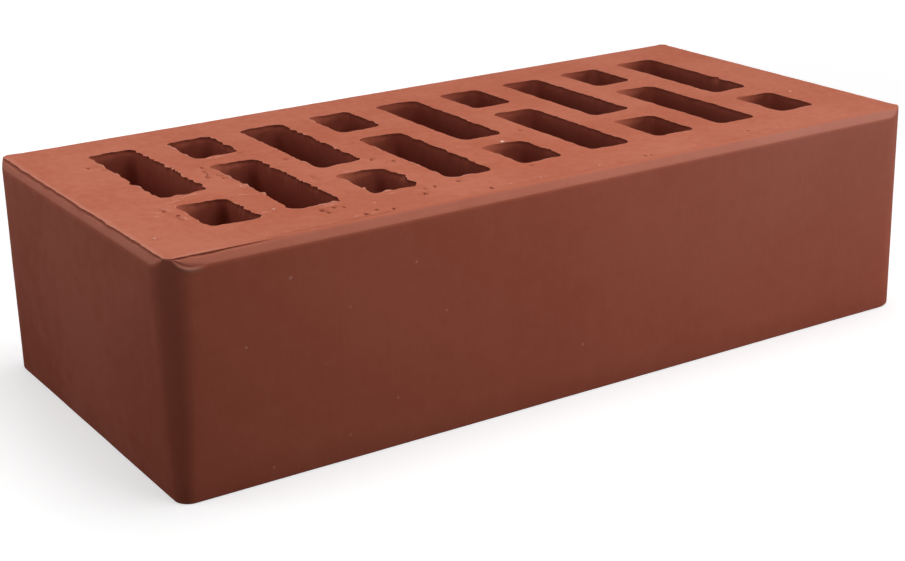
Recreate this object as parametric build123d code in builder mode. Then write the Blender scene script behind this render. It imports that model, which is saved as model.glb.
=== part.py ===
from build123d import *
import os

# Perforated clay facing brick, lying on its bed face.
# Millimetres. +X runs along the brick, +Y across it and +Z up.
# The origin is the middle of the lower bed face.

# Body: the extruded clay column, cut to length and fired
brick_length = 250.0
brick_width = 120.0
brick_height = 65.0
arris_radius = 8.5      # the four upright corners

# Bevel along the four edges of the upper bed face
bevel_setback = 2.0     # measured inwards on the bed face
bevel_drop = 2.8        # measured down the stretcher and header faces

# Perforation: columns of one long slot and one short hole, turned end for end from column to column
column_count = 9
end_wall = 22.0         # from a header face to the nearest hole
side_wall = 19.0        # from a stretcher face to the nearest hole
cross_web = 10.0        # between the slot and the short hole of one column
hole_width = 14.0
short_hole_length = 21.0
hole_corner_radius = 2.5
cut_overrun = 5.0       # how far the hole cut runs past both bed faces

# Worked out from the sizes above
slot_length = brick_width - 2 * side_wall - cross_web - short_hole_length
column_pitch = (brick_length - 2 * end_wall - hole_width) / (column_count - 1)
first_column_x = -brick_length / 2 + end_wall + hole_width / 2
slot_y = brick_width / 2 - side_wall - slot_length / 2
short_hole_y = -brick_width / 2 + side_wall + short_hole_length / 2


with BuildPart() as brick:
    with BuildSketch(Plane.XY):
        Rectangle(brick_length, brick_width)
    extrude(amount=brick_height)

    # The bevels run straight from end to end of each side, and meet in a mitre.
    upper_bed = brick.faces().sort_by(Axis.Z)[-1]
    chamfer(upper_bed.edges(), length=bevel_setback, length2=bevel_drop, reference=upper_bed)

    # The upright corners are rounded through the bevels, so each bevel runs out in a curved lobe.
    with BuildSketch(Plane.XY):
        RectangleRounded(brick_length, brick_width, arris_radius)
    extrude(amount=brick_height, mode=Mode.INTERSECT)

    # The holes go right through, and neighbouring columns face opposite ways.
    with BuildSketch(Plane.XY.offset(-cut_overrun)):
        for column in range(column_count):
            column_x = first_column_x + column * column_pitch
            facing = 1 if column % 2 == 0 else -1
            with Locations((column_x, facing * slot_y)):
                RectangleRounded(hole_width, slot_length, hole_corner_radius)
            with Locations((column_x, facing * short_hole_y)):
                RectangleRounded(hole_width, short_hole_length, hole_corner_radius)
    extrude(amount=brick_height + 2 * cut_overrun, mode=Mode.SUBTRACT)

brick.part.label = "brick"

os.makedirs("parts", exist_ok=True)
export_step(brick.part, "parts/brick.step")

print("brick", brick.part.bounding_box().size, "volume", round(brick.part.volume))
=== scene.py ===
import math
import random

import bpy
import numpy as np
from mathutils import Matrix, Vector, noise
from mathutils.geometry import delaunay_2d_cdt


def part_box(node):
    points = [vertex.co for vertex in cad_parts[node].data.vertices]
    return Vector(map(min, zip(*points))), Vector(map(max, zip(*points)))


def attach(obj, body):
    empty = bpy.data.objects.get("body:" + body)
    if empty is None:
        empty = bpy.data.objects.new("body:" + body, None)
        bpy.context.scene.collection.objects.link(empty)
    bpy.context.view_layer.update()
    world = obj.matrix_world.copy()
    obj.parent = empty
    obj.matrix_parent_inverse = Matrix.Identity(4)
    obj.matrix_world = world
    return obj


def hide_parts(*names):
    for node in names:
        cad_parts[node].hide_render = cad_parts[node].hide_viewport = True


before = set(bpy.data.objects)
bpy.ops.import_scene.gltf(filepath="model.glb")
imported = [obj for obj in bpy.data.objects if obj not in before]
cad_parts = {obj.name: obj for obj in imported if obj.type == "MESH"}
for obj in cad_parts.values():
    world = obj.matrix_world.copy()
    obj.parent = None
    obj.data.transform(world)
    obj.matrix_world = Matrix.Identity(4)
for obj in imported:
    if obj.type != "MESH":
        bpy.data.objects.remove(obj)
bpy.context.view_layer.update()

mm = 0.001  # the mesh is worked out in millimetres and scaled once, when it is made
low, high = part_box("brick")
length, width, height = [(b - a) / mm for a, b in zip(low, high)]

# each Ripple here and below is a noise: its strength, the size of its features and its shift
body = {
    "arrisRadius": 8.5,               # upright corners
    "arrisFootRadius": 4.5,           # the near one, at the lower bed
    "arrisTopSoft": 0.35,             # rounding at the top of an arris, between the bevels
    "bevelSetback": 2.0,
    "bevelDrop": 2.8,
    "holeCornerRadius": 2.5,
    "bottomSoft": 0.6,                # worn lower edge
    "footSoftFront": 0.6,             # rounding at the foot of the bevel, on the long faces
    "footSoftEnd": 1.0,               # and on the ends
    "footSoftMost": 0.4,              # as a share of the bevel's slope
    "footSteps": (0.35, 0.7, 1.0),    # where the rings stand on the rounding
    "creaseSoft": 0.9,                # rounding where the bevel meets the bed without a lip
    "creaseSoftMost": 0.55,
    "creaseSteps": (0.2, 0.45, 0.75, 1.0),
    "wallWave": 0.16,                 # long swells of the side faces
    "wallRipples": [(0.5, 55.0, 2.0), (0.3, 21.0, 4.0), (0.12, 6.0, 9.0)],
    "wallSink": 0.75,                 # keeps the swells inside the solid
    "wallSpacing": (0.4, 1.45, 6.0),  # rings down the side: first step, growth and largest step
    "wallSpan": 60.0,                 # they are laid out on this height and fitted to the real one
    "wallBare": 3.0,                  # with no ring so near to the lower edge
    "stationStep": 0.8,
    "sharpAngle": 55.0,
    "seed": 7,
}

bed = {
    "headroom": 0.34,                 # burrs stand this far above the bed
    "swellRipple": (0.10, 46.0, 3.1),
    "dragRipple": (0.03, 2.6, 8.7),   # the fine drag of the wire
    "dragStretch": (0.22, 1.0),
    "edgeRings": (0.4, 0.8),          # from the crease inwards
    "upperSpacing": 2.4,              # of the loose points
    "lowerSpacing": 4.0,
    "lowerLevel": 0.05,
    "rowShare": 0.866,                # rows stand closer than the points in them
    "jitter": 0.25,
    "holeMargin": 2.4,
    "edgeMargin": 6.0,
}

# of these marks, one is painted shade, and one is smeared clay together with painted light
markNames = ("burr", "pit", "lime", "smear")  # point attributes that the materials read
clay = {"points": [], "faces": [], "zones": [], "count": 0}
clay.update({name: [] for name in markNames})
bedZone, skinZone, holeZone, bevelZone = 0, 1, 2, 3
rng = random.Random(body["seed"])


def addPoints(coords, **shares):
    coords = np.asarray(coords, float)
    first = clay["count"]
    clay["points"].append(coords)
    for name in markNames:
        clay[name].append(np.broadcast_to(shares.get(name, 0.0), len(coords)))
    clay["count"] += len(coords)
    return np.arange(first, first + len(coords))


def addStrip(ringA, ringB, zone):
    nextA, nextB = np.roll(ringA, -1), np.roll(ringB, -1)
    quads = np.stack([ringA, nextA, nextB, ringB], 1)
    clay["faces"].extend(quads.tolist())
    clay["zones"].extend([zone] * len(quads))


def ripple(coords, strength, size, shift):
    # smooth noise at each point, of about -strength to strength
    at = np.asarray(coords, float) / size + shift
    if at.shape[1] == 2:
        at = np.column_stack([at, np.full(len(at), shift)])
    return strength * np.array([noise.noise(Vector(p)) for p in at])


def notches(coords, strength, size, shift):
    # sharp notches between blunt teeth
    return strength * (0.5 - 2.0 * np.abs(ripple(coords, 1.0, size, shift)))


def eased(share):
    share = np.clip(share, 0, 1)
    return share * share * (3 - 2 * share)


def roundedOutline(halfX, halfY, radius, step):
    # points and outward normals, anticlockwise, evenly spaced on each run and arc
    points, normals = [], []
    corners = [(1, 1), (-1, 1), (-1, -1), (1, -1)]
    arcSteps = max(4, round(radius * math.pi / 2 / step))
    inner = np.array([halfX - radius, halfY - radius])
    for k, corner in enumerate(corners):
        centre = inner * corner
        nextCentre = inner * corners[(k + 1) % 4]
        for i in range(arcSteps):
            angle = math.pi / 2 * (k + i / arcSteps)
            normal = np.array([math.cos(angle), math.sin(angle)])
            points.append(centre + radius * normal)
            normals.append(normal)
        angle = math.pi / 2 * (k + 1)
        normal = np.array([math.cos(angle), math.sin(angle)])
        runSteps = max(2, round(np.linalg.norm(nextCentre - centre) / step))
        for i in range(runSteps):
            points.append(centre + (nextCentre - centre) * i / runSteps + radius * normal)
            normals.append(normal)
    return np.array(points), np.array(normals)


def readHoles(node):
    # centre and half size of each hole, from the edges round the lower bed of the solid
    mesh = node.data
    edgeUse = {}
    for polygon in mesh.polygons:
        if polygon.normal.z > -0.99:  # only the lower bed looks straight down
            continue
        keys = [tuple(round(c / mm, 3) for c in mesh.vertices[i].co[:2]) for i in polygon.vertices]
        for a, b in zip(keys, keys[1:] + keys[:1]):
            edge = (min(a, b), max(a, b))
            edgeUse[edge] = edgeUse.get(edge, 0) + 1
    links = {}
    for (a, b), uses in edgeUse.items():
        if uses == 1:
            links.setdefault(a, []).append(b)
            links.setdefault(b, []).append(a)
    loops, seen = [], set()
    for start in links:
        loop, queue = [], [start]
        while queue:
            key = queue.pop()
            if key not in seen:
                seen.add(key)
                loop.append(key)
                queue.extend(links[key])
        if loop:
            corner, far = np.min(loop, 0), np.max(loop, 0)
            loops.append((*((corner + far) / 2), *((far - corner) / 2)))
    loops.sort(key=lambda h: h[2] * h[3])
    return sorted(loops[:-1])  # the largest loop is the brick's own outline


def insideLoop(loop, points):
    # even-odd test of points against a closed outline
    inside = np.zeros(len(points), bool)
    for (ax, ay), (bx, by) in zip(loop, np.roll(loop, -1, axis=0)):
        spans = (ay > points[:, 1]) != (by > points[:, 1])
        if spans.any():
            cross = ax + (points[:, 1] - ay) * (bx - ax) / (by - ay)
            inside ^= spans & (points[:, 0] < cross)
    return inside


def bedHeight(xy):
    # the wire-cut bed: long swells and the fine drag of the wire
    swell = ripple(xy, *bed["swellRipple"])
    drag = ripple(xy * bed["dragStretch"], *bed["dragRipple"])
    return height - bed["headroom"] + swell + drag


def distanceToHoles(xy, holes):
    nearest = np.full(len(xy), np.inf)
    radius = body["holeCornerRadius"]
    for cx, cy, hx, hy in holes:
        q = np.abs(xy - [cx, cy]) - [hx - radius, hy - radius]
        outside = np.linalg.norm(np.maximum(q, 0), axis=1)
        nearest = np.minimum(nearest, outside + np.minimum(q.max(1), 0) - radius)
    return nearest


def bedTriangles(outer, mouths, loose, faceUp):
    # triangles between the outline, the hole mouths and loose points of one bed face
    allPoints = np.concatenate(clay["points"])
    order = np.concatenate([outer, *mouths, loose]).astype(int)
    flat = allPoints[order][:, :2]
    edges, start = [], 0
    for ring in [outer, *mouths]:
        edges += [(start + i, start + (i + 1) % len(ring)) for i in range(len(ring))]
        start += len(ring)
    result = delaunay_2d_cdt([Vector(p) for p in flat], edges, [], 1, 1e-7, True)
    faces, origins = result[2], [ids[0] for ids in result[3]]
    triangles = np.array([[origins[i] for i in face] for face in faces])
    centres = flat[triangles].mean(1)
    keep = np.ones(len(triangles), bool)
    for mouth in mouths:
        loop = allPoints[mouth][:, :2]
        near = np.all((centres > loop.min(0)) & (centres < loop.max(0)), axis=1)
        hits = np.nonzero(near)[0]
        keep[hits[insideLoop(loop, centres[hits])]] = False
    triangles = triangles[keep]
    a, b, c = (flat[triangles[:, i]] for i in range(3))
    turn = (b[:, 0] - a[:, 0]) * (c[:, 1] - a[:, 1]) - (b[:, 1] - a[:, 1]) * (c[:, 0] - a[:, 0])
    wrong = (turn > 0) != faceUp
    triangles[wrong] = triangles[wrong][:, ::-1]
    clay["faces"].extend(order[triangles].tolist())
    clay["zones"].extend([bedZone] * len(triangles))


# the skin of the wire cut, hanging ragged over the bevel
lip = {
    "overhang": 0.45,                 # how far it reaches over the bevel
    "thickness": 0.20,
    "jagRipple": (0.315, 2.2, 1.3),
    "fineJagRipple": (0.225, 1.32, 6.1),
    "slit": 1.35,                     # width of the open seam under it, down the bevel
    "slitOpening": (0.75, 1.25),      # at the front and at the back
    "slitRipple": (0.45, 6.0, 12.0),
    "slitDepth": 1.0,
    "slitLevel": 0.6,                 # of the rounding's depth
    "tip": (0.3, 0.05),               # its upper edge stands this far in and up
    "leftShare": 0.95,                # how much of a lip there is along the left end
    "frontShares": (0.04, 0.90),      # along the front face, far from the near corner and at it
    "otherShare": 0.25,
    "leastShare": 0.03,
    "fadeLength": 26.0,
    "blendStations": 9,
    "wobbleMean": 0.85,
    "wobbleRipple": (0.3, 9.0, 5.0),
    "burr": 0.4,
    "smears": (0.12, 0.35, 0.75, 1.0),  # bed clay on the rings from the upper bevel to the lip's edge
}

# the fold of clay squeezed out under the bevel at the near corner
leaf = {
    "start": 0.4,                     # along the outline, from the middle of the near arris
    "end": 9.6,
    "push": 0.20,                     # how far it stands off the arris
    "reach": 0.50,                    # and how far down
    "groove": 0.40,                   # over it, at the foot of the bevel
    "grooveShares": (0.1, 1.0, 0.6),  # on the three rings there
    "grooveShade": 0.7,
    "smears": (0.5, 0.9, 1.0),        # paler clay on the rings up to the groove
}


def lipShares(points):
    # how much of a lip the bed has: all along the left end, fading out along the front
    x, y = points[:, 0], points[:, 1]
    leftEnd = x < -length / 2 + body["arrisRadius"]
    front = y < -width / 2 + body["arrisRadius"]
    run = np.clip(1 - (x + length / 2 - body["arrisRadius"]) / lip["fadeLength"], 0, 1)
    far, near = lip["frontShares"]
    share = np.full(len(points), lip["otherShare"])
    share[front] = far + (near - far) * run[front]
    share[leftEnd] = lip["leftShare"]
    reach = lip["blendStations"]
    wrapped = np.concatenate([share[-reach:], share, share[:reach]])
    share = np.convolve(wrapped, np.full(2 * reach + 1, 1 / (2 * reach + 1)), "valid")
    wobble = lip["wobbleMean"] + ripple(points, *lip["wobbleRipple"])
    return np.clip(share * wobble, lip["leastShare"], 1)


def leafShares(points, normals):
    # how far the fold is out along the outline
    middle = np.argmin(np.linalg.norm(normals + math.sqrt(0.5), axis=1))
    steps = np.linalg.norm(np.roll(points, -1, axis=0) - points, axis=1)
    along = np.concatenate([[0], np.cumsum(steps)[:-1]])
    along = along - along[middle]
    t = (along - leaf["start"]) / (leaf["end"] - leaf["start"])
    return np.where((t > 0) & (t < 1), np.sin(math.pi * np.clip(t, 0, 1)), 0)


def skinRings(outline, normals, share, fold):
    # the side of the brick as rings of inset, height and push, from the lower bed to the upper one
    setback, drop, worn = body["bevelSetback"], body["bevelDrop"], body["bottomSoft"]
    top = bedHeight(outline)
    gaps = np.array([length / 2, width / 2]) - np.abs(outline)  # distance from the planes of the sides
    crease = np.where(gaps < setback, (setback - gaps) / np.maximum(np.abs(normals), 1e-3), 0).max(1)
    foot = height - drop * np.clip(1 - gaps.min(1) / setback, 0, 1)
    crease = np.maximum(crease, body["arrisTopSoft"])
    foot = np.minimum(foot, height - body["arrisTopSoft"]) - bed["headroom"]
    slope = np.hypot(crease, top - foot)
    across, rise = crease / slope, (top - foot) / slope
    endShare = normals[:, 0] ** 2
    footSoft = body["footSoftFront"] * (1 - endShare) + body["footSoftEnd"] * endShare
    footSoft = np.minimum(footSoft, body["footSoftMost"] * slope)

    # the worn lower edge and the side face
    rings = []
    for angle in np.radians([0, 30, 60, 90]):
        rings.append((worn * (1 - math.sin(angle)), worn * (1 - math.cos(angle)), 0))
    wallTop = foot - footSoft
    spacing, growth, largest = body["wallSpacing"]
    depths = [0.0]
    while depths[-1] + spacing < body["wallSpan"] - body["wallBare"]:
        depths.append(depths[-1] + spacing)
        spacing = min(spacing * growth, largest)
    for depth in reversed(depths):
        push = leaf["push"] * fold * max(0, 1 - depth / leaf["reach"])
        rings.append((0.0, wallTop - depth * (wallTop - worn) / body["wallSpan"], push))

    # the rounded foot of the bevel, and the bevel
    footStart = len(rings)
    for t, dent in zip(body["footSteps"], leaf["grooveShares"]):
        inset = t * t * footSoft * across
        level = foot - (1 - t) ** 2 * footSoft + t * t * footSoft * rise
        rings.append((inset, level, -leaf["groove"] * fold * dent))
    front, back = lip["slitOpening"]
    opening = front + (back - front) * np.clip(outline[:, 1] / width + 0.5, 0, 1)
    slit = lip["slit"] * opening * (1 + ripple(outline, *lip["slitRipple"]))
    creaseSoft = body["creaseSoft"] + share * (slit - body["creaseSoft"])
    creaseSoft = np.minimum(creaseSoft, body["creaseSoftMost"] * slope)
    for t in (0.25, 0.5, 0.75, 1.0):
        along = footSoft + (slope - creaseSoft - footSoft) * t
        rings.append((along * across, foot + along * rise, 0))

    # the crease is a blend of a rounded edge and a ragged lip over an open seam
    lipStart = len(rings)
    overhang = lip["overhang"] + ripple(outline, *lip["jagRipple"]) + ripple(outline, *lip["fineJagRipple"])
    tipIn, tipUp = lip["tip"]
    ragged = [
        (crease + lip["slitDepth"], top - lip["slitLevel"] * creaseSoft * rise),  # bottom of the seam
        (crease - 0.6 * overhang, top - lip["thickness"]),                        # under the lip
        (crease - overhang, top - 0.5 * lip["thickness"]),                        # its edge
        (crease - overhang + tipIn, top + tipUp),
    ]
    for t, (lipInset, lipLevel) in zip(body["creaseSteps"], ragged):
        inset = crease + creaseSoft * (t * t - (1 - t) ** 2 * across)
        level = top - (1 - t) ** 2 * creaseSoft * rise
        rings.append((inset + share * (lipInset - inset), level + share * (lipLevel - level), 0))
    return rings, footStart, lipStart, crease + creaseSoft


def buildSkin():
    outline, normals = roundedOutline(length / 2, width / 2, body["arrisRadius"], body["stationStep"])
    share, fold = lipShares(outline), leafShares(outline, normals)
    rings, footStart, lipStart, bedInset = skinRings(outline, normals, share, fold)
    smears = {lipStart - 1 + k: amount for k, amount in enumerate(lip["smears"])}
    smears.update({footStart - 2 + k: amount * fold for k, amount in enumerate(leaf["smears"])})
    grooveRing = footStart + 1
    bedStart = lipStart + 2
    nearArris = np.all(normals < -1e-6, axis=1)
    toCorner = np.where(nearArris[:, None], np.sign(outline) - normals, 0.0)
    sharper = body["arrisRadius"] - body["arrisFootRadius"]
    ids = []
    for index, (inset, level, push) in enumerate(rings):
        offset = np.broadcast_to(push - inset, len(outline))[:, None]
        level = np.broadcast_to(level, len(outline))
        taper = sharper * ((1 - level / height) ** 2)[:, None]
        coords = np.column_stack([outline + normals * offset + toCorner * taper, level])
        swell = sum(ripple(coords, *values) for values in body["wallRipples"])
        coords[:, :2] -= normals * (body["wallWave"] * (body["wallSink"] - swell))[:, None]
        coords[:, :2] = np.clip(coords[:, :2], [-length / 2, -width / 2], [length / 2, width / 2])
        burr = lip["burr"] * share if index >= lipStart else 0.0
        # painted shade in the groove over the fold
        pit = leaf["grooveShade"] * fold if index == grooveRing else 0.0
        ids.append(addPoints(coords, burr=burr, pit=pit, smear=smears.get(index, 0.0)))
    for extra in bed["edgeRings"]:
        xy = outline - normals * (bedInset + extra)[:, None]
        ids.append(addPoints(np.column_stack([xy, bedHeight(xy)])))
    for index, (a, b) in enumerate(zip(ids, ids[1:])):
        zone = bedZone if index >= bedStart else bevelZone if index >= grooveRing else skinZone
        addStrip(a, b, zone)
    print("sides and bevels:", len(outline), "stations,", len(ids), "rings")
    return ids[0], ids[-1]


# the holes, with mouths torn by the wire
rim = {
    "step": 0.65,                     # between the points round a mouth
    "tornStep": 0.33,                 # and round the mouths that are torn most
    "tornFrom": 0.8,
    "columnShares": [1.0, 0.95, 0.9, 0.7, 0.6, 0.5, 0.45, 0.45, 0.45],  # torn most at the left
    "collar": 0.5,                    # width of the turned-over rim on the bed
    "edgeIn": 0.08,                   # its edge stands this far back from the wall
    "edgeDown": 0.06,                 # and this far down
    "waveRipple": (0.40, 6.5, 7.7),   # slow swing of the torn edge
    "toothRipple": (0.70, 3.0, 2.2),  # its sharp notches
    "fineToothRipple": (0.28, 1.1, 5.7),
    "chipRipple": (1.0, 3.6, 4.4),
    "chipFrom": 0.2,
    "dragShare": 0.4,                 # tearing of the other sides, against the one that the wire leaves
    "fade": 1.1,                      # the tearing dies out at this depth
    "burr": 0.34,
    "burrMean": 0.15,
    "burrRipple": (1.6, 5.5, 11.0),
    "hollow": 0.45,                   # undercut below the dragged edge
    "hollowDepth": 0.55,
    "hollowMean": 0.6,
    "hollowLeast": 0.1,
    "hollowRipple": (1.0, 4.0, 21.0),
    "shadeDepth": 0.80,               # painted shade under the edge, fading out at this depth
    "shadeMean": 0.55,
    "shadeTorn": 0.6,                 # darker where more is torn out
    "shadeRipple": (0.5, 7.0, 13.0),
    "ribRipple": (0.02, 2.4, 6.6),    # of the walls
    "depths": [0.10, 0.35, 0.65, 1.1, 1.9, 3.1, 4.6, 18.0, 63.0, 64.7],
    "wallEnd": 0.22,                  # above the lower bed
    "footFlare": 0.4,                 # the mouth in the lower bed
    "footRipple": (0.35, 2.0, 15.0),
    "footLevel": 0.04,
    # the back left corner of a mouth is smeared down by the wire, more at some holes than at others, and
    # the wall under it gets painted light
    "slump": 1.25,                    # how far the corner is worn back
    "slumpDepth": 3.8,
    "slumpCurve": 1.4,
    "slumpReach": (11.0, 3.0),
    "smearDepth": 7.0,                # how deep the painted light reaches, and how far along
    "smearReach": (12.0, 4.0),
    "smearCover": 0.5,                # how much of the painted shade under the edge the painted light takes away
    "slotSlumpAndLight": [0.3, 0.9, 0.2, 0.7, 0.5, 0.45, 0.45, 1.0, 0.9],
    "shortSlumpAndLight": [1.0, 0.15, 1.0, 0.7, 1.0, 0.6, 1.0, 0.8, 0.9],
    # loose flakes hanging over a mouth: place and reach
    "flakes": [
        (-79.0, -23.0, 2.0), (-79.0, -13.0, 2.2), (-67.5, -41.0, 1.8), (-51.0, -41.0, 2.4),
        (-55.0, -35.0, 1.4), (-89.0, 14.0, 1.4),
    ],
    "flakePush": 0.45,
    # bites broken out of a mouth: place and reach
    "bites": [
        (-91.5, -41.0, 6.5), (-103.0, 8.0, 3.0), (103.0, 6.0, 2.2), (-41.0, -31.0, 2.4),
    ],
    "bitePush": 1.1,
}


def spotShares(points, spots):
    # how near each point of a rim is to one of the spots
    share = np.zeros(len(points))
    for x, y, reach in spots:
        away = np.linalg.norm(points - [x, y], axis=1)
        share = np.maximum(share, eased(1 - away / reach))
    return share


def cornerShares(points, hole, reach):
    # how near each point of a rim is to the back left corner of its hole
    cx, cy, hx, hy = hole
    return eased(1 - np.linalg.norm((points - [cx - hx, cy + hy]) / reach, axis=1))


def buildHole(hole, column):
    # one torn mouth on the upper bed, the wall, and the mouth below
    cx, cy, hx, hy = hole
    force = rim["columnShares"][column]
    step = rim["tornStep"] if force > rim["tornFrom"] else rim["step"]
    outline, normals = roundedOutline(hx, hy, body["holeCornerRadius"], step)
    outline = outline + [cx, cy]

    wave = ripple(outline, *rim["waveRipple"])
    tooth = notches(outline, *rim["toothRipple"]) + notches(outline, *rim["fineToothRipple"])
    chip = np.clip(ripple(outline, *rim["chipRipple"]) - rim["chipFrom"], 0, 1)
    flake, bite = spotShares(outline, rim["flakes"]), spotShares(outline, rim["bites"])
    side = rim["dragShare"] + (1 - rim["dragShare"]) * np.clip(normals[:, 0], 0, 1)
    torn = force * (wave + side * tooth + chip) - rim["flakePush"] * flake + rim["bitePush"] * bite
    burr = np.clip(ripple(outline, *rim["burrRipple"]) + rim["burrMean"], 0, 1)
    burr = np.maximum(burr * force, flake)
    hollow = np.clip(rim["hollowMean"] + ripple(outline, *rim["hollowRipple"]), rim["hollowLeast"], 1)
    hollow = rim["hollow"] * force * hollow
    rib = ripple(outline, *rim["ribRipple"])

    smeared = rim["slotSlumpAndLight" if hy > 2 * hx else "shortSlumpAndLight"][column]
    # the worn back corner, and painted light on the wall below it
    smear = smeared * cornerShares(outline, hole, rim["smearReach"])
    slump = smeared * rim["slump"] * cornerShares(outline, hole, rim["slumpReach"])
    # painted shade on the wall just under the torn edge
    shade = rim["shadeMean"] + rim["shadeTorn"] * torn + ripple(outline, *rim["shadeRipple"])
    shade = np.clip(shade, 0, 1) * math.sqrt(force) * (1 - rim["smearCover"] * smear)

    collar = outline + normals * (np.maximum(torn, 0) + slump + rim["collar"])[:, None]
    edge = outline + normals * (torn + slump + rim["edgeIn"])[:, None]
    edgeTop = np.minimum(bedHeight(edge) + rim["burr"] * burr - rim["edgeDown"], height)
    rings = [
        addPoints(np.column_stack([collar, bedHeight(collar)])),
        addPoints(np.column_stack([edge, edgeTop]), burr=burr),
    ]
    for depth in rim["depths"]:
        tear = math.exp(-depth / rim["fade"])
        sink = math.exp(-((depth - rim["hollowDepth"]) / rim["hollowDepth"]) ** 2)
        dark = math.exp(-((depth / rim["shadeDepth"]) ** 2))
        slope = max(0.0, 1 - depth / rim["slumpDepth"]) ** rim["slumpCurve"]
        drawn = max(0.0, 1 - depth / rim["smearDepth"])
        push = torn * tear + hollow * (1 - smear) * sink + rib * (1 - tear) + slump * slope
        xy = outline + normals * push[:, None]
        place = np.column_stack([xy, np.maximum(edgeTop - depth, rim["wallEnd"])])
        rings.append(addPoints(place, pit=shade * dark, smear=smear * drawn))
    flare = np.abs(ripple(outline, *rim["footRipple"])) + rim["footFlare"]
    footXy = outline + normals * flare[:, None]
    rings.append(addPoints(np.column_stack([footXy, np.full(len(outline), rim["footLevel"])])))
    for index, (a, b) in enumerate(zip(rings, rings[1:])):
        addStrip(a, b, bedZone if index in (0, len(rings) - 2) else holeZone)
    return rings[0], rings[-1]


# what the wire and the drying left on the upper bed
marks = {
    "clear": 1.6,                     # kept free round the holes
    # pits: place, radius and depth
    "pits": [
        (-82.7, 6.4, 0.5, 0.5), (-84.2, 0.5, 0.6, 0.6), (-81.4, 10.4, 0.5, 0.4),
        (-80.9, -2.6, 0.5, 0.5), (-58.2, 3.9, 0.6, 0.6), (-73.5, -45.5, 0.7, 0.3),
        (-73.0, -48.0, 0.6, 0.3), (-104.3, 25.5, 0.5, 0.3), (-107.5, 29.9, 0.5, 0.3),
        (-89.1, 9.7, 0.5, 0.5), (-107.1, -21.3, 0.5, 0.4), (-105.7, -27.3, 0.5, 0.4),
        (-34.5, -16.3, 0.5, 0.5), (-39.0, -11.6, 0.5, 0.3), (-44.2, -49.0, 0.6, 0.6),
        (-38.6, -44.7, 0.5, 0.3), (-61.7, -53.6, 0.5, 0.6), (-65.9, -55.2, 0.5, 0.6),
        (-57.8, -55.3, 0.5, 0.5), (-67.5, -46.3, 0.5, 0.5), (-69.7, -45.0, 0.6, 0.3),
        (-30.8, -44.3, 0.6, 0.3), (-27.4, -55.2, 0.6, 0.9), (-6.1, -43.6, 0.5, 0.3),
        (13.2, -10.3, 0.5, 0.3), (25.2, -55.0, 0.5, 0.5), (27.0, -55.3, 0.4, 0.4),
        (66.0, -52.0, 0.4, 0.3),
    ],
    # scratches: from, to and depth
    "scratches": [
        ((-81.2, 9.7), (-84.4, 0.0), 0.40), ((-81.1, 2.5), (-80.4, -3.5), 0.32),
        ((-66.6, 18.9), (-63.5, 18.2), 0.38), ((-41.2, -43.4), (-42.2, -47.0), 0.26),
        ((-60.6, -15.6), (-61.0, -18.4), 0.34), ((-107.9, -19.0), (-107.0, -24.2), 0.36),
        ((-106.6, -26.6), (-106.4, -33.0), 0.22),
    ],
    # dragged burrs: from, to and height
    "ridges": [
        ((-87.4, -20.0), (-80.8, -21.6), 0.28), ((-81.8, -22.3), (-79.2, -23.4), 0.34),
        ((-88.5, -38.4), (-83.9, -39.0), 0.28), ((-102.0, -13.2), (-91.0, -12.0), 0.22),
        ((-72.1, -43.2), (-66.9, -42.9), 0.32), ((-80.9, -11.6), (-80.8, -15.2), 0.30),
        ((-111.5, -24.6), (-109.5, -25.0), 0.20), ((-53.0, -43.2), (-49.2, -43.6), 0.34),
        ((-52.2, -18.2), (-47.6, -18.4), 0.26), ((-69.8, -55.3), (-68.6, -55.5), 0.30),
        ((-65.0, -55.3), (-63.6, -55.5), 0.32), ((-77.0, 18.0), (-70.0, 17.8), 0.20),
        ((-106.6, -18.6), (-105.6, -23.4), 0.34), ((-105.4, -28.6), (-105.2, -33.4), 0.30),
        ((-103.6, -15.6), (-98.6, -15.0), 0.28), ((-110.0, -21.6), (-108.2, -22.6), 0.26),
    ],
    "ridgeStep": 0.7,
    "ridgeEnd": 0.06,                 # keeps a little height at both ends
    "ridgeUneven": (0.55, 1.0),
    "ridgeSway": 0.35,
    "ridgeFoot": (0.35, 0.6),
    # grains of lime: place, radius and paleness
    "grains": [
        (1.4, -18.0, 0.55, 1.0), (108.7, -23.8, 0.45, 0.6), (-118.4, -41.3, 0.40, 0.5),
        (-11.1, -55.0, 0.35, 0.35), (8.6, -55.4, 0.35, 0.3), (-83.3, -37.2, 0.45, 0.6),
        (-21.1, -55.4, 0.35, 0.35),
    ],
    "grainRise": 0.6,                 # of its radius
    # rings round a pit or a grain: points, reach, share of the height and share of the tint
    "pitForm": {"rings": [(7, 0.7, 0.85, 1.0), (9, 1.1, 0.0, 0.0)], "ragged": (0.75, 1.3), "drawn": 1.7},
    "grainForm": {"rings": [(6, 0.7, 2 / 3, 1.0), (8, 1.1, 0.0, 0.0)], "ragged": (0.8, 1.2), "drawn": 1.0},
}


def spotPoints(x, y, radius, peak, tint, form):
    # a small ragged hollow or grain, drawn out along the way of the wire
    spots = [(x, y, peak, tint)]
    for count, reach, heightShare, tintShare in form["rings"]:
        for k in range(count):
            angle = 2 * math.pi * (k + rng.random() * 0.5) / count
            away = radius * reach * rng.uniform(*form["ragged"])
            across, along = away * math.cos(angle), form["drawn"] * away * math.sin(angle)
            spots.append((x + across, y + along, peak * heightShare, tint * tintShare))
    return spots


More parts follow.
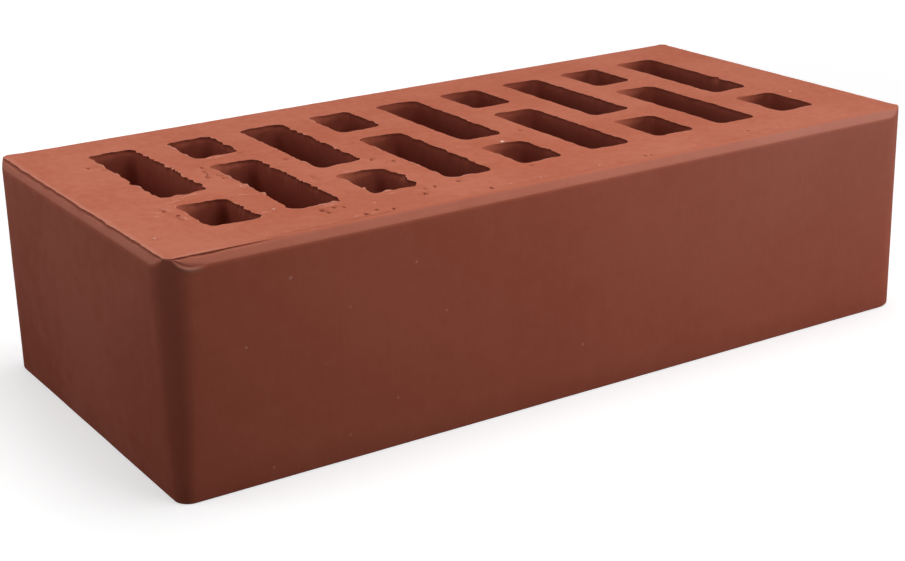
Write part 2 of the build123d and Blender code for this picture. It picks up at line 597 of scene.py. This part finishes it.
def ridgePoints(start, end, peak):
    # an uneven crest lying on the bed with a foot on each side, or a scratch where the peak is below it
    start, end = np.array(start, float), np.array(end, float)
    run = np.linalg.norm(end - start)
    side = np.array([-(end - start)[1], (end - start)[0]]) / run
    steps = max(3, int(run / marks["ridgeStep"]))
    spots = []
    for k in range(steps + 1):
        t = k / steps
        kept = min(max(t, marks["ridgeEnd"]), 1 - marks["ridgeEnd"])
        swell = math.sin(math.pi * kept) * rng.uniform(*marks["ridgeUneven"])
        sway = rng.uniform(-marks["ridgeSway"], marks["ridgeSway"])
        centre = start + (end - start) * t + side * sway
        spots.append((*centre, peak * swell, swell))
        spots.append((*(centre + side * rng.uniform(*marks["ridgeFoot"])), 0.0, 0.0))
        spots.append((*(centre - side * rng.uniform(*marks["ridgeFoot"])), 0.0, 0.0))
    return spots


def addMarks(holes):
    # marks of the upper bed, as points that the bed's triangles take in
    ids, places = [], []
    hollows = [spotPoints(x, y, radius, -depth, 1.0, marks["pitForm"])
               for x, y, radius, depth in marks["pits"]]
    hollows += [ridgePoints(start, end, -depth) for start, end, depth in marks["scratches"]]
    burrs = [ridgePoints(*ridge) for ridge in marks["ridges"]]
    grains = [spotPoints(x, y, radius, marks["grainRise"] * radius, paleness, marks["grainForm"])
              for x, y, radius, paleness in marks["grains"]]
    for kind, shapes in (("pit", hollows), ("burr", burrs), ("lime", grains)):
        for spots in shapes:
            spots = np.array(spots)
            spots = spots[distanceToHoles(spots[:, :2], holes) > marks["clear"]]
            if not len(spots):
                continue
            z = np.minimum(bedHeight(spots[:, :2]) + spots[:, 2], height)
            coords = np.column_stack([spots[:, :2], z])
            ids.append(addPoints(coords, **{kind: spots[:, 3]}))
            places.append(spots[:, :2])
    print("marks of the upper bed:", len(hollows), "hollows,", len(burrs), "burrs,", len(grains), "grains")
    return np.concatenate(ids), np.concatenate(places)


def scatterBed(holes, spacing, level, taken):
    # loose points over a bed face, kept off the holes, the edge and the marks
    rowStep = spacing * bed["rowShare"]
    jitter = bed["jitter"]
    spots = []
    for j in range(int(width / rowStep)):
        for i in range(int(length / spacing)):
            x = -length / 2 + (i + 0.5 * (j % 2) + 0.5 + rng.uniform(-jitter, jitter)) * spacing
            y = -width / 2 + (j + 0.5 + rng.uniform(-jitter, jitter)) * rowStep
            spots.append((x, y))
    spots = np.array(spots)
    clear = distanceToHoles(spots, holes) > bed["holeMargin"]
    clear &= np.all(np.abs(spots) < [length / 2 - bed["edgeMargin"], width / 2 - bed["edgeMargin"]], axis=1)
    spots = spots[clear]
    if len(taken):
        apart = np.linalg.norm(spots[:, None] - taken[None], axis=2).min(1)
        spots = spots[apart > 0.5 * spacing]
    z = bedHeight(spots) if level is None else np.full(len(spots), level)
    return addPoints(np.column_stack([spots, z]))


def makeMesh(name):
    points = np.concatenate(clay["points"])
    mesh = bpy.data.meshes.new(name)
    mesh.from_pydata((points * mm).tolist(), [], clay["faces"])
    mesh.polygons.foreach_set("material_index", clay["zones"])
    mesh.polygons.foreach_set("use_smooth", [True] * len(mesh.polygons))
    for mark in markNames:
        layer = mesh.attributes.new(mark, "FLOAT", "POINT")
        layer.data.foreach_set("value", np.concatenate(clay[mark]).astype(np.float32))
    mesh.set_sharp_from_angle(angle=math.radians(body["sharpAngle"]))
    mesh.update()
    repaired = mesh.validate()
    piece = bpy.data.objects.new(name, mesh)
    bpy.context.scene.collection.objects.link(piece)
    triangles = sum(len(p.vertices) - 2 for p in mesh.polygons)
    print("mesh", name, len(mesh.vertices), "points,", triangles, "triangles, repaired:", repaired)
    return piece


holes = readHoles(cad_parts["brick"])
columnXs = sorted({round(h[0], 1) for h in holes})
print("holes read from the solid:", len(holes), "in", len(columnXs), "columns")
lowerEdge, upperEdge = buildSkin()
mouthPairs = [buildHole(hole, columnXs.index(round(hole[0], 1))) for hole in holes]
markIds, markPlaces = addMarks(holes)
upperLoose = scatterBed(holes, bed["upperSpacing"], None, markPlaces)
bedTriangles(upperEdge, [upper for upper, _ in mouthPairs], np.concatenate([upperLoose, markIds]), True)
lowerLoose = scatterBed(holes, bed["lowerSpacing"], bed["lowerLevel"], [])
bedTriangles(lowerEdge, [lower for _, lower in mouthPairs], lowerLoose, False)
brick = makeMesh("clay_brick")


def addNode(tree, kind, setup, inputs):
    # a node with its settings, each input either a value or a socket to link
    node = tree.nodes.new(kind)
    for key, value in setup.items():
        setattr(node, key, value)
    for key, value in inputs.items():
        if isinstance(value, bpy.types.NodeSocket):
            tree.links.new(value, node.inputs[key])
        else:
            node.inputs[key].default_value = value
    return node


def mixColour(tree, factor, first, second):
    # sockets 6 and 7 and output 2 are the Mix node's colours
    inputs = {0: factor, 6: first, 7: second}
    return addNode(tree, "ShaderNodeMix", {"data_type": "RGBA"}, inputs).outputs[2]


def mathNode(tree, operation, first, second):
    return addNode(tree, "ShaderNodeMath", {"operation": operation}, {0: first, 1: second}).outputs[0]


def vectorNode(tree, operation, inputs):
    return addNode(tree, "ShaderNodeVectorMath", {"operation": operation}, inputs).outputs


def layColour(tree, colour, mask, share, second):
    # a second colour over the first, as thick as the mask and the share say
    return mixColour(tree, mathNode(tree, "MULTIPLY", mask, share), colour, second)


def spread(tree, value, fromLow, fromHigh, toLow=0.0, toHigh=1.0):
    inputs = {"Value": value, "From Min": fromLow, "From Max": fromHigh, "To Min": toLow, "To Max": toHigh}
    return addNode(tree, "ShaderNodeMapRange", {"interpolation_type": "SMOOTHSTEP"}, inputs).outputs[0]


def objectCoords(tree):
    return addNode(tree, "ShaderNodeTexCoord", {}, {}).outputs["Object"]


def noiseNode(tree, coords, scale, detail, roughness=0.5):
    inputs = {"Vector": coords, "Scale": scale, "Detail": detail, "Roughness": roughness}
    return addNode(tree, "ShaderNodeTexNoise", {}, inputs).outputs


def startGroup(name, inputs, outputs):
    tree = bpy.data.node_groups.new(name, "ShaderNodeTree")
    for label, kind, value in inputs:
        tree.interface.new_socket(label, in_out="INPUT", socket_type=kind).default_value = value
    for label, kind in outputs:
        tree.interface.new_socket(label, in_out="OUTPUT", socket_type=kind)
    given, out = tree.nodes.new("NodeGroupInput").outputs, tree.nodes.new("NodeGroupOutput").inputs
    return tree, given, out, objectCoords(tree)


# the mottle of the fired clay, and a painted sheen: a thin pale haze that grows towards the upper bed and
# the right end
mottleAndSheen = {
    "broadShare": 0.55,
    "fineShare": 0.45,
    "fineness": 9.0,                  # of the fine mottle, against the broad one
    "mottle": (0.36, 0.64),
    "sheenColour": (0.500, 0.290, 0.250, 1),
    "along": (-0.04, 0.13),
    "leftEnd": (-0.116, -0.1245, 0.0, 0.3),  # a little painted sheen on the left end too
    "upwards": (0.0, 0.06),
}


def clayToneGroup():
    # drifting colour of fired clay: broad patches with a finer mottle over them, and a painted sheen over
    # that
    tree, given, out, coords = startGroup(
        "clayTone",
        [("Base", "NodeSocketColor", (0.4, 0.12, 0.08, 1)), ("Pale", "NodeSocketColor", (0.5, 0.2, 0.1, 1)),
         ("Deep", "NodeSocketColor", (0.3, 0.1, 0.05, 1)), ("Patches", "NodeSocketFloat", 30.0),
         ("Contrast", "NodeSocketFloat", 0.5), ("PaintedSheen", "NodeSocketFloat", 0.0)],
        [("Color", "NodeSocketColor"), ("Tone", "NodeSocketFloat")])
    broad = noiseNode(tree, coords, given["Patches"], detail=4.0)["Fac"]
    fineScale = mathNode(tree, "MULTIPLY", given["Patches"], mottleAndSheen["fineness"])
    fine = noiseNode(tree, coords, fineScale, detail=5.0, roughness=0.65)["Fac"]
    broadPart = mathNode(tree, "MULTIPLY", broad, mottleAndSheen["broadShare"])
    finePart = mathNode(tree, "MULTIPLY", fine, mottleAndSheen["fineShare"])
    tone = spread(tree, mathNode(tree, "ADD", broadPart, finePart), *mottleAndSheen["mottle"])
    drift = mixColour(tree, tone, given["Deep"], given["Pale"])
    colour = mixColour(tree, given["Contrast"], given["Base"], drift)
    # painted sheen: paler towards the right end, the left end and the upper bed
    place = addNode(tree, "ShaderNodeSeparateXYZ", {}, {0: coords}).outputs
    rightSheen = spread(tree, place["X"], *mottleAndSheen["along"])
    leftSheen = spread(tree, place["X"], *mottleAndSheen["leftEnd"])
    sheenMask = mathNode(tree, "MAXIMUM", rightSheen, leftSheen)
    sheenMask = mathNode(tree, "MULTIPLY", sheenMask, spread(tree, place["Z"], *mottleAndSheen["upwards"]))
    colour = layColour(tree, colour, sheenMask, given["PaintedSheen"], mottleAndSheen["sheenColour"])
    tree.links.new(colour, out["Color"])
    tree.links.new(tone, out["Tone"])
    return tree


speck = {
    "bendScale": 900.0,
    "bend": 0.0008,                   # how far the grains are pulled out of round
    "sizes": (0.4, 1.0),
    "core": 0.6,
}


def claySpecksGroup():
    # scattered grains: a share of the cells of a pattern hold one round grain each
    tree, given, out, coords = startGroup(
        "claySpecks",
        [("Cells", "NodeSocketFloat", 100.0), ("Size", "NodeSocketFloat", 0.2),
         ("Share", "NodeSocketFloat", 0.1)],
        [("Mask", "NodeSocketFloat")])
    bend = noiseNode(tree, coords, speck["bendScale"], detail=2.0)["Color"]
    shift = vectorNode(tree, "SCALE", {0: bend, "Scale": speck["bend"]})[0]
    moved = vectorNode(tree, "ADD", {0: coords, 1: shift})[0]
    cells = addNode(tree, "ShaderNodeTexVoronoi", {}, {"Vector": moved, "Scale": given["Cells"]}).outputs
    pick = addNode(tree, "ShaderNodeSeparateColor", {}, {"Color": cells["Color"]}).outputs
    chosen = mathNode(tree, "LESS_THAN", pick[0], given["Share"])
    grainSize = mathNode(tree, "MULTIPLY", given["Size"], spread(tree, pick[1], 0.0, 1.0, *speck["sizes"]))
    core = mathNode(tree, "MULTIPLY", grainSize, speck["core"])
    disc = spread(tree, cells["Distance"], core, grainSize, 1.0, 0.0)
    tree.links.new(mathNode(tree, "MULTIPLY", disc, chosen), out["Mask"])
    return tree


def clayGritGroup():
    # fine relief, drawn out along one direction by the stretch
    tree, given, out, coords = startGroup(
        "clayGrit",
        [("Scale", "NodeSocketFloat", 900.0), ("Stretch", "NodeSocketVector", (1, 1, 1))],
        [("Height", "NodeSocketFloat")])
    drawn = vectorNode(tree, "MULTIPLY", {0: coords, 1: given["Stretch"]})[0]
    grit = noiseNode(tree, drawn, given["Scale"], detail=3.0, roughness=0.6)["Fac"]
    tree.links.new(grit, out["Height"])
    return tree


clayTone, claySpecks, clayGrit = clayToneGroup(), claySpecksGroup(), clayGritGroup()
print("node groups:", clayTone.name, claySpecks.name, clayGrit.name)


def placeGroup(tree, group, inputs):
    return addNode(tree, "ShaderNodeGroup", {"node_tree": group}, inputs).outputs


def startMaterial(name, specular):
    material = bpy.data.materials.new(name)
    material.use_nodes = True
    shader = material.node_tree.nodes["Principled BSDF"]
    shader.inputs["Specular IOR Level"].default_value = specular
    return material, material.node_tree, shader


def markNode(tree, name):
    return addNode(tree, "ShaderNodeAttribute", {"attribute_name": name}, {}).outputs["Fac"]


def gritAndDrag(tree, finish):
    # even grit with the drag of the wire or the die over it
    grit = placeGroup(tree, clayGrit, finish["grit"])["Height"]
    drag = placeGroup(tree, clayGrit, finish["drag"])["Height"]
    return mathNode(tree, "ADD", grit, mathNode(tree, "MULTIPLY", drag, finish["dragShare"]))


def addRelief(tree, shader, relief, depth):
    bump = addNode(tree, "ShaderNodeBump", {}, {"Height": relief, "Distance": depth, "Strength": 1.0})
    tree.links.new(bump.outputs[0], shader.inputs["Normal"])


bedClay = {
    "tone": {
        "Base": (0.486, 0.137, 0.078, 1), "Pale": (0.530, 0.165, 0.099, 1),
        "Deep": (0.440, 0.113, 0.060, 1), "Patches": 38.0, "Contrast": 0.7, "PaintedSheen": 0.05,
    },
    "frontSheen": (-0.058, -0.036, 0.04, 0.0),  # painted sheen, a little paler from the front edge inwards
    "burrColour": (0.700, 0.340, 0.250, 1), "burrShare": 0.8,
    "pitColour": (0.170, 0.036, 0.020, 1), "pitShare": 0.85,
    "specks": {"Cells": 170.0, "Size": 0.10, "Share": 0.05},
    "speckColour": (0.660, 0.340, 0.250, 1), "speckShare": 0.6,
    "limeColour": (0.880, 0.660, 0.570, 1),
    "roughness": 0.95, "specular": 0.1,
    "grit": {"Scale": 1100.0}, "drag": {"Scale": 420.0, "Stretch": (0.12, 1.0, 1.0)}, "dragShare": 0.8,
    "relief": 0.00018,
}


def wireCutBed():
    material, tree, shader = startMaterial("wireCutBed", bedClay["specular"])
    shader.inputs["Roughness"].default_value = bedClay["roughness"]
    tone = placeGroup(tree, clayTone, bedClay["tone"])
    # painted sheen: a little paler towards the front edge
    across = addNode(tree, "ShaderNodeSeparateXYZ", {}, {0: objectCoords(tree)}).outputs["Y"]
    frontSheenShare = spread(tree, across, *bedClay["frontSheen"])
    colour = mixColour(tree, frontSheenShare, tone["Color"], mottleAndSheen["sheenColour"])
    colour = layColour(tree, colour, markNode(tree, "burr"), bedClay["burrShare"], bedClay["burrColour"])
    # painted shade in the pits and scratches
    colour = layColour(tree, colour, markNode(tree, "pit"), bedClay["pitShare"], bedClay["pitColour"])
    specks = placeGroup(tree, claySpecks, bedClay["specks"])
    colour = layColour(tree, colour, specks["Mask"], bedClay["speckShare"], bedClay["speckColour"])
    colour = mixColour(tree, markNode(tree, "lime"), colour, bedClay["limeColour"])
    tree.links.new(colour, shader.inputs["Base Color"])
    addRelief(tree, shader, gritAndDrag(tree, bedClay), bedClay["relief"])
    return material


skinClay = {
    "tone": {
        "Base": (0.360, 0.094, 0.057, 1), "Pale": (0.392, 0.108, 0.068, 1),
        "Deep": (0.328, 0.080, 0.046, 1), "Patches": 22.0, "Contrast": 0.45, "PaintedSheen": 0.13,
    },
    "specks": {"Cells": 110.0, "Size": 0.06, "Share": 0.10},
    "speckColour": (0.520, 0.270, 0.200, 1), "speckShare": 0.4,
    # pale grains in the front face: place along it, height and radius, in millimetres
    "grains": [
        (-90.9, 53.9, 0.70), (-74.3, 42.5, 0.50), (-104.2, 38.3, 0.55),
        (-45.2, 35.1, 0.50), (-76.0, 7.1, 0.50), (-98.6, 3.9, 0.60),
        (-61.1, 13.9, 0.50), (-54.1, 50.6, 0.60), (-0.4, 15.0, 0.60),
    ],
    "grainShare": 0.55, "grainCore": 0.3,
    "foldColour": (0.400, 0.165, 0.120, 1),
    "roughness": (0.74, 0.64),        # of the deep clay and of the pale
    "specular": 0.025,
    "grit": {"Scale": 800.0}, "drag": {"Scale": 300.0, "Stretch": (1.0, 1.0, 0.1)}, "dragShare": 0.7,
    "relief": 0.00005,
}


def dieSkin():
    material, tree, shader = startMaterial("dieSkin", skinClay["specular"])
    tone = placeGroup(tree, clayTone, skinClay["tone"])
    specks = placeGroup(tree, claySpecks, skinClay["specks"])
    coords = objectCoords(tree)
    mask = mathNode(tree, "MULTIPLY", specks["Mask"], skinClay["speckShare"])
    for x, z, radius in skinClay["grains"]:
        place = (x * mm, -width / 2 * mm, z * mm)
        away = vectorNode(tree, "DISTANCE", {0: coords, 1: place})["Value"]
        core = skinClay["grainCore"] * radius
        grain = spread(tree, away, core * mm, radius * mm, skinClay["grainShare"], 0.0)
        mask = mathNode(tree, "MAXIMUM", mask, grain)
    colour = mixColour(tree, mask, tone["Color"], skinClay["speckColour"])
    colour = mixColour(tree, markNode(tree, "smear"), colour, skinClay["foldColour"])
    tree.links.new(colour, shader.inputs["Base Color"])
    roughness = spread(tree, tone["Tone"], 0.0, 1.0, *skinClay["roughness"])
    tree.links.new(roughness, shader.inputs["Roughness"])
    addRelief(tree, shader, gritAndDrag(tree, skinClay), skinClay["relief"])
    return material


holeClay = {
    "tone": {
        "Base": (0.308, 0.069, 0.042, 1), "Pale": (0.340, 0.081, 0.050, 1),
        "Deep": (0.276, 0.058, 0.033, 1), "Patches": 40.0, "Contrast": 0.6,
    },
    # for the painted shade under the torn edges and in the groove over the fold
    "shadeColour": (0.130, 0.026, 0.014, 1),
    "roughness": 0.9, "specular": 0.1,
    "drag": {"Scale": 500.0, "Stretch": (1.0, 1.0, 0.06)},
    "relief": 0.00002,
}


def holeWall():
    material, tree, shader = startMaterial("holeWall", holeClay["specular"])
    shader.inputs["Roughness"].default_value = holeClay["roughness"]
    tone = placeGroup(tree, clayTone, holeClay["tone"])
    # painted light: bed colour on the upper back wall of a mouth
    colour = mixColour(tree, markNode(tree, "smear"), tone["Color"], bedClay["tone"]["Base"])
    # painted shade under the torn edge
    colour = mixColour(tree, markNode(tree, "pit"), colour, holeClay["shadeColour"])
    tree.links.new(colour, shader.inputs["Base Color"])
    drag = placeGroup(tree, clayGrit, holeClay["drag"])
    addRelief(tree, shader, drag["Height"], holeClay["relief"])
    return material


bevelClay = {
    "tone": {
        "Base": (0.425, 0.136, 0.090, 1), "Pale": (0.455, 0.153, 0.104, 1),
        "Deep": (0.395, 0.119, 0.075, 1), "Patches": 24.0, "Contrast": 0.5, "PaintedSheen": 0.22,
    },
    "burrColour": (0.520, 0.180, 0.120, 1), "burrShare": 0.5,
    "roughness": 0.7, "specular": 0.025,
    "grit": {"Scale": 700.0},
    "relief": 0.00005,
}


def pressedBevel():
    material, tree, shader = startMaterial("pressedBevel", bevelClay["specular"])
    shader.inputs["Roughness"].default_value = bevelClay["roughness"]
    tone = placeGroup(tree, clayTone, bevelClay["tone"])
    colour = mixColour(tree, markNode(tree, "smear"), tone["Color"], bedClay["tone"]["Base"])
    # painted shade in the groove over the fold
    colour = mixColour(tree, markNode(tree, "pit"), colour, holeClay["shadeColour"])
    burr = markNode(tree, "burr")
    colour = layColour(tree, colour, burr, bevelClay["burrShare"], bevelClay["burrColour"])
    tree.links.new(colour, shader.inputs["Base Color"])
    grit = placeGroup(tree, clayGrit, bevelClay["grit"])
    addRelief(tree, shader, grit["Height"], bevelClay["relief"])
    return material


for material in (wireCutBed(), dieSkin(), holeWall(), pressedBevel()):  # in the order of the zones
    brick.data.materials.append(material)
    print("material", material.name)

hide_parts("brick")
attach(brick, "root")

studio = {
    "floorHalf": 4.0,
    "floorRoughness": 0.95,
    "floorSeen": (0.60, 0.60, 0.60, 1),    # as the camera sees it, with its own glow
    "floorGlow": (0.56, 1.0),              # beside the object, and away from it
    "glowReach": (0.30, 0.75),
    "floorBounce": (0.05, 0.05, 0.05, 1),  # as it lights the object
    "ambient": 0.01,
    # each lamp: place, disk size and power
    "lamps": {
        "overhead": ((0.136, 0.02, 0.77), 0.60, 4.10),
        "right": ((0.38, -0.38, 0.13), 0.24, 1.06),
        "front": ((0.00, -0.26, 0.22), 0.16, 0.21),
        "left": ((-0.52, -0.14, 0.13), 0.24, 0.26),
        "nearLeft": ((-0.26, 0.04, 0.20), 0.16, 0.125),
        "backLeft": ((-0.27, 0.47, 0.13), 0.24, 0.18),
        "back": ((0.05, 0.54, 0.13), 0.24, 0.65),
    },
    "lampAim": (0.0, 0.0, 0.03),
}


def seenRay(tree):
    # 1 for rays that show the surroundings: from the camera, or by way of a gloss or glass
    rays = addNode(tree, "ShaderNodeLightPath", {}, {}).outputs
    seen = mathNode(tree, "MAXIMUM", rays["Is Camera Ray"], rays["Is Glossy Ray"])
    return mathNode(tree, "MAXIMUM", seen, rays["Is Transmission Ray"])


def makeFloor():
    half = studio["floorHalf"]
    mesh = bpy.data.meshes.new("floor")
    corners = [(-half, -half, 0), (half, -half, 0), (half, half, 0), (-half, half, 0)]
    mesh.from_pydata(corners, [], [(0, 1, 2, 3)])
    floor = bpy.data.objects.new("floor", mesh)
    bpy.context.scene.collection.objects.link(floor)
    material, tree, shader = startMaterial("paleFloor", specular=0.0)
    shader.inputs["Roughness"].default_value = studio["floorRoughness"]
    seen = seenRay(tree)
    colour = mixColour(tree, seen, studio["floorBounce"], studio["floorSeen"])
    tree.links.new(colour, shader.inputs["Base Color"])
    shader.inputs["Emission Color"].default_value = (1, 1, 1, 1)
    away = vectorNode(tree, "LENGTH", {0: objectCoords(tree)})["Value"]
    glow = spread(tree, away, *studio["glowReach"], *studio["floorGlow"])
    tree.links.new(mathNode(tree, "MULTIPLY", seen, glow), shader.inputs["Emission Strength"])
    mesh.materials.append(material)


def makeWorld():
    world = bpy.data.worlds.new("studio")
    bpy.context.scene.world = world
    world.use_nodes = True
    tree = world.node_tree
    background = tree.nodes["Background"].inputs
    strength = spread(tree, seenRay(tree), 0.0, 1.0, studio["ambient"], 1.0)
    tree.links.new(strength, background["Strength"])
    background["Color"].default_value = (1, 1, 1, 1)


def makeLamp(name, place, size, power):
    lamp = bpy.data.lights.new(name, "AREA")
    lamp.shape = "DISK"
    lamp.size = size
    lamp.energy = power
    holder = bpy.data.objects.new(name, lamp)
    holder.location = place
    aim = Vector(studio["lampAim"]) - Vector(place)
    holder.rotation_euler = aim.to_track_quat("-Z", "Y").to_euler()
    holder.visible_camera = False
    bpy.context.scene.collection.objects.link(holder)


view = {
    "eye": (-0.2800, -0.4360, 0.2010),
    "aim": (-0.02735, -0.03465, 0.0325),
    "roll": -1.435,                   # degrees about the line of sight
    "lens": 70.885,
    "sensor": 36.0,
    "clipStart": 0.01,
}


def makeCamera():
    eye, aim = Vector(view["eye"]), Vector(view["aim"])
    forward = (aim - eye).normalized()
    level = forward.cross(Vector((0, 0, 1))).normalized()
    roll = math.radians(view["roll"])
    right = level * math.cos(roll) + level.cross(forward) * math.sin(roll)
    turn = Matrix((right, right.cross(forward), -forward)).transposed()
    data = bpy.data.cameras.new("camera")
    data.sensor_width = view["sensor"]
    data.lens = view["lens"]
    data.clip_start = view["clipStart"]
    camera = bpy.data.objects.new("camera", data)
    camera.matrix_world = Matrix.Translation(eye) @ turn.to_4x4()
    bpy.context.scene.collection.objects.link(camera)
    bpy.context.scene.camera = camera


makeFloor()
makeWorld()
for name, settings in studio["lamps"].items():
    makeLamp(name, *settings)
makeCamera()
bpy.context.scene.view_settings.view_transform = "Standard"
print("stage,", len(studio["lamps"]), "lamps and camera")
